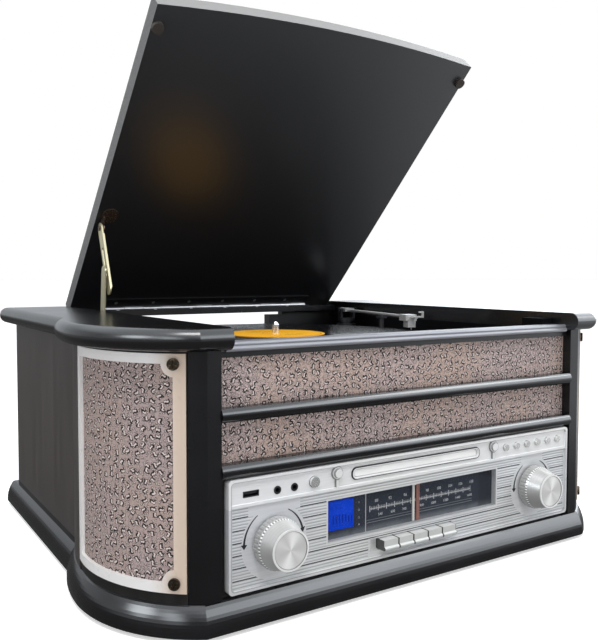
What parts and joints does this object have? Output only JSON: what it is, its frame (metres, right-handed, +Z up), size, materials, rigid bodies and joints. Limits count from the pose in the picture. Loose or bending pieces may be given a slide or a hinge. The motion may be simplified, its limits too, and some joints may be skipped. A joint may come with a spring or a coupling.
{
  "type": "music center",
  "caption": "Retro music center: lidded record player with tonearm, disc drawer, dial, knobs, push keys and bowed speaker corners in a black lacquered cabinet.",
  "frame": {"origin": "on the floor plane under the feet, under the middle of the box that the object fills with its lid open; that is midway between the side panels and 187.1 mm behind the faceplate's ground", "axes": "+X to the right as seen from the front, +Y towards the back, +Z up; the front faces -Y"},
  "size_m": [0.533, 0.4182, 0.4863],
  "materials": {
    "black_lacquer": "black piano lacquer on board, deep gloss",
    "grey_lacquer": "black lacquer rail with a grey sheen",
    "satin_panel": "dark grey-black satin panel with a faint vertical grain",
    "raw_board": "plain fibre board",
    "satin_deck": "black satin deck",
    "speaker_cloth": "brown-grey woven cloth with a small printed pattern",
    "champagne_metal": "silver-cream painted frame",
    "screw_steel": "dark bronze screws",
    "driver_metal": "dark grey pressed steel",
    "silver_plate": "silver painted plate",
    "dark_plastic": "black plastic",
    "display_glass": "blue lit display",
    "dial_print": "dark printed scale",
    "clear_window": "clear window",
    "pointer_plastic": "white and red needles",
    "knob_silver": "turned and knurled silver knobs",
    "key_silver": "silver keys",
    "platter_metal": "dark grey platter with a mat",
    "vinyl_black": "black vinyl with an orange label",
    "brass_part": "brass pulley",
    "arm_silver": "silver tonearm parts",
    "rubber_black": "black rubber",
    "rubber_brown": "dark brown felted rubber",
    "hinge_steel": "bright plated hinge",
    "bronze_steel": "dark bronze plated steel",
    "stay_steel": "yellow zinc plated steel",
    "board_green": "green circuit board",
    "transformer_steel": "varnished laminations"
  },
  "bodies": {
    "cabinet": {"plinth": "black_lacquer", "bottom_board": "raw_board", "rubber_feet": "rubber_black", "side_panels": "satin_panel", "back_panel": "satin_panel", "left_top_cap": "black_lacquer", "right_top_cap": "black_lacquer", "rear_hinge_rail": "black_lacquer", "front_top_rail": "grey_lacquer", "half_round_rails": "black_lacquer", "front_pillars": "black_lacquer", "baffle_boards": "satin_panel", "grille_cloth": "speaker_cloth", "grille_frames": "champagne_metal", "grille_screws": "screw_steel", "speaker_drivers": "driver_metal", "faceplate": "silver_plate", "front_sockets": "dark_plastic", "lcd_display": "display_glass", "dial_scale": "dial_print", "dial_lens": "clear_window", "cd_loader": "dark_plastic", "turntable_deck": "satin_deck", "drive_motor": "driver_metal", "drive_belt": "rubber_black", "tonearm_base": "dark_plastic", "arm_rest": "dark_plastic", "rail_hinge_leaf": "hinge_steel", "hinge_pin": "hinge_steel", "stay_side_plate": "stay_steel", "circuit_boards": "board_green", "transformer": "transformer_steel", "rear_terminals": "dark_plastic"},
    "lid_group": {"lid": "black_lacquer", "lid_bumpers": "rubber_brown", "lid_hinge_leaf": "hinge_steel", "stay_bracket": "bronze_steel"},
    "stay_upper": {"stay_upper_arm": "stay_steel"},
    "stay_lower": {"stay_lower_arm": "stay_steel"},
    "turntable": {"platter": "platter_metal", "record": "vinyl_black"},
    "pulley": {"motor_pulley": "brass_part"},
    "arm_yoke": {"tonearm_yoke": "arm_silver"},
    "arm": {"tonearm": "arm_silver"},
    "drawer": {"cd_drawer": "silver_plate"},
    "volume": {"volume_knob": "knob_silver"},
    "tuning": {"tuning_knob": "knob_silver"},
    "pointer": {"dial_pointer": "pointer_plastic"},
    "function": {"function_button": "knob_silver"},
    "track_1": {"track_button_1": "knob_silver"},
    "track_2": {"track_button_2": "knob_silver"},
    "track_3": {"track_button_3": "knob_silver"},
    "track_4": {"track_button_4": "knob_silver"},
    "track_5": {"track_button_5": "knob_silver"},
    "track_6": {"track_button_6": "knob_silver"},
    "key_1": {"push_key_1": "key_silver"},
    "key_2": {"push_key_2": "key_silver"},
    "key_3": {"push_key_3": "key_silver"},
    "key_4": {"push_key_4": "key_silver"},
    "key_5": {"push_key_5": "key_silver"}
  },
  "joints": [
    {"name": "lid_swing", "type": "hinge", "parent": "cabinet", "child": "lid_group", "pos_m": [0, 0.19091, 0.211], "axis": [-1, 0, 0], "range_deg": [-45, 0]},
    {"name": "stay_lower_turn", "type": "hinge", "parent": "cabinet", "child": "stay_lower", "pos_m": [-0.1767, 0.08341, 0.207], "axis": [-1, 0, 0], "range_deg": [-91.17, 0]},
    {"name": "stay_upper_turn", "type": "hinge", "parent": "lid_group", "child": "stay_upper", "pos_m": [-0.1739, 0.0963, 0.29741], "axis": [-1, 0, 0], "range_deg": [0, 104.94]},
    {"name": "platter_spin", "type": "hinge", "parent": "cabinet", "child": "turntable", "pos_m": [-0.022, 0.00591, 0.18], "axis": [0, 0, -1], "continuous": true},
    {"name": "pulley_spin", "type": "hinge", "parent": "cabinet", "child": "pulley", "pos_m": [0.04, 0.05391, 0.18], "axis": [0, 0, -1], "continuous": true},
    {"name": "tonearm_swing", "type": "hinge", "parent": "cabinet", "child": "arm_yoke", "pos_m": [0.166, 0.13491, 0.191], "axis": [0, 0, -1], "range_deg": [0, 33.5]},
    {"name": "tonearm_lift", "type": "hinge", "parent": "arm_yoke", "child": "arm", "pos_m": [0.166, 0.13491, 0.205], "axis": [-0.9727, 0.2319, 0], "range_deg": [0, 14]},
    {"name": "drawer_slide", "type": "slide", "parent": "cabinet", "child": "drawer", "axis": [0, -1, 0], "range_m": [0, 0.122]},
    {"name": "volume_turn", "type": "hinge", "parent": "cabinet", "child": "volume", "pos_m": [-0.1418, -0.18709, 0.0588], "axis": [0, 1, 0], "range_deg": [0, 300]},
    {"name": "tuning_turn", "type": "hinge", "parent": "cabinet", "child": "tuning", "pos_m": [0.1328, -0.18709, 0.0588], "axis": [0, 1, 0], "range_deg": [-540, 720]},
    {"name": "pointer_slide", "type": "slide", "parent": "cabinet", "child": "pointer", "axis": [1, 0, 0], "range_m": [-0.054, 0.072]},
    {"name": "function_press", "type": "slide", "parent": "cabinet", "child": "function", "axis": [0, 1, 0], "range_m": [0, 0.0012], "stiffness_N_per_m": 300},
    {"name": "track_press_1", "type": "slide", "parent": "cabinet", "child": "track_1", "axis": [0, 1, 0], "range_m": [0, 0.0012], "stiffness_N_per_m": 300},
    {"name": "track_press_2", "type": "slide", "parent": "cabinet", "child": "track_2", "axis": [0, 1, 0], "range_m": [0, 0.0012], "stiffness_N_per_m": 300},
    {"name": "track_press_3", "type": "slide", "parent": "cabinet", "child": "track_3", "axis": [0, 1, 0], "range_m": [0, 0.0012], "stiffness_N_per_m": 300},
    {"name": "track_press_4", "type": "slide", "parent": "cabinet", "child": "track_4", "axis": [0, 1, 0], "range_m": [0, 0.0012], "stiffness_N_per_m": 300},
    {"name": "track_press_5", "type": "slide", "parent": "cabinet", "child": "track_5", "axis": [0, 1, 0], "range_m": [0, 0.0012], "stiffness_N_per_m": 300},
    {"name": "track_press_6", "type": "slide", "parent": "cabinet", "child": "track_6", "axis": [0, 1, 0], "range_m": [0, 0.0012], "stiffness_N_per_m": 300},
    {"name": "key_press_1", "type": "slide", "parent": "cabinet", "child": "key_1", "axis": [0, 1, 0], "range_m": [0, 0.0025], "stiffness_N_per_m": 500},
    {"name": "key_press_2", "type": "slide", "parent": "cabinet", "child": "key_2", "axis": [0, 1, 0], "range_m": [0, 0.0025], "stiffness_N_per_m": 500},
    {"name": "key_press_3", "type": "slide", "parent": "cabinet", "child": "key_3", "axis": [0, 1, 0], "range_m": [0, 0.0025], "stiffness_N_per_m": 500},
    {"name": "key_press_4", "type": "slide", "parent": "cabinet", "child": "key_4", "axis": [0, 1, 0], "range_m": [0, 0.0025], "stiffness_N_per_m": 500},
    {"name": "key_press_5", "type": "slide", "parent": "cabinet", "child": "key_5", "axis": [0, 1, 0], "range_m": [0, 0.0025], "stiffness_N_per_m": 500}
  ],
  "couplings": [
    {"joint": "stay_lower_turn", "follows": "lid_swing", "ratio": 2.026},
    {"joint": "stay_upper_turn", "follows": "lid_swing", "ratio": -2.332},
    {"joint": "pulley_spin", "follows": "platter_spin", "ratio": 11.25},
    {"joint": "pointer_slide", "follows": "tuning_turn", "m_per_rad": 0.00573}
  ]
}
